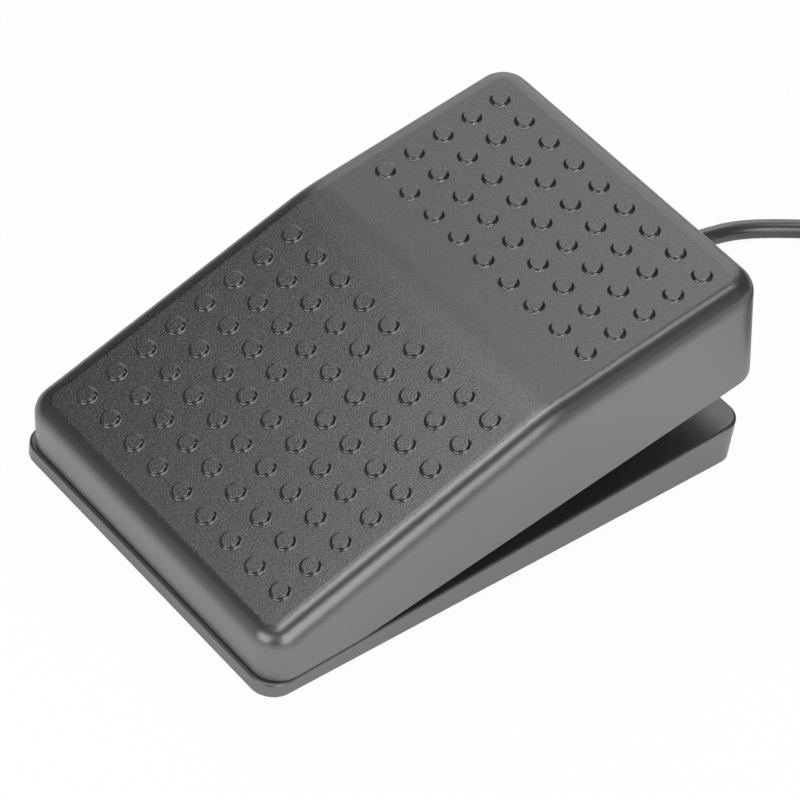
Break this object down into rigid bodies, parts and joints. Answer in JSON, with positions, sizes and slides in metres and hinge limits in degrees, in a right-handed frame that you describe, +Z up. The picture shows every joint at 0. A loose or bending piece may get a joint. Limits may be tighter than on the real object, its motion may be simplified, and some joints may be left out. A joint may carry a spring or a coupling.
{
  "type": "sewing machine pedal",
  "caption": "Low wedge-shaped foot pedal with a studded cover rocking on a flat base, a lever switch inside and a thin cord ending in a jack plug.",
  "frame": {"origin": "on the floor under the middle of the pedal's length and width, its cord left out", "axes": "+Y towards the high rear end where the cord leaves, +X to the user's right, +Z up"},
  "size_m": [0.1172, 0.19, 0.0428],
  "materials": {
    "cover_plastic": "black ABS, pebbled top and smooth walls",
    "base_plastic": "black ABS, satin",
    "rubber": "black rubber",
    "steel": "plain steel",
    "spring_steel": "drawn spring wire",
    "switch_plastic": "dark thermoset",
    "button_plastic": "red plastic",
    "terminal_brass": "tinned brass",
    "cord_jacket": "black PVC, satin",
    "wire_white": "white PVC",
    "wire_red": "red PVC",
    "sleeve": "black heat-shrink tube",
    "tie": "black PVC band",
    "plug_plastic": "black PVC, moulded",
    "plug_metal": "nickel plated",
    "ring_plastic": "black insulator"
  },
  "bodies": {
    "base": {"base_housing": "base_plastic", "bottom_plate": "base_plastic", "bottom_screws": "steel", "rubber_feet": "rubber", "hinge_rod": "steel", "stop_pads": "rubber", "return_spring": "spring_steel", "switch_case": "switch_plastic", "switch_cover": "switch_plastic", "switch_terminals": "terminal_brass", "switch_screws": "steel", "strain_relief": "cord_jacket", "cord_inner": "cord_jacket", "cord_clamp": "steel", "clamp_screws": "steel", "wire_common": "wire_white", "wire_signal": "wire_red", "terminal_sleeves": "sleeve", "cord_lead": "cord_jacket", "cord_coil": "cord_jacket", "coil_tie": "tie", "cord_tail": "cord_jacket", "plug_sleeve": "plug_plastic", "plug_body": "plug_plastic", "plug_barrel": "plug_metal", "plug_ring": "ring_plastic", "plug_tip": "plug_metal"},
    "pedal": {"pedal_cover": "cover_plastic"},
    "lever": {"switch_lever": "steel"},
    "button": {"switch_button": "button_plastic"}
  },
  "joints": [
    {"name": "pedal_hinge", "type": "hinge", "parent": "base", "child": "pedal", "pos_m": [0, -0.02935, 0.01015], "axis": [-1, 0, 0], "range_deg": [0, 7], "stiffness_Nm_per_rad": 1.5, "springref_deg": -6.88, "deforming": ["return_spring"]},
    {"name": "lever_hinge", "type": "hinge", "parent": "base", "child": "lever", "pos_m": [0, 0.00295, 0.0197], "axis": [1, 0, 0], "range_deg": [0, 10.5]},
    {"name": "button_slide", "type": "slide", "parent": "base", "child": "button", "axis": [0, 0, -1], "range_m": [0, 0.0009]}
  ],
  "couplings": [
    {"joint": "lever_hinge", "follows": "pedal_hinge", "ratio": 1.5},
    {"joint": "button_slide", "follows": "pedal_hinge", "m_per_rad": 0.0073656}
  ]
}
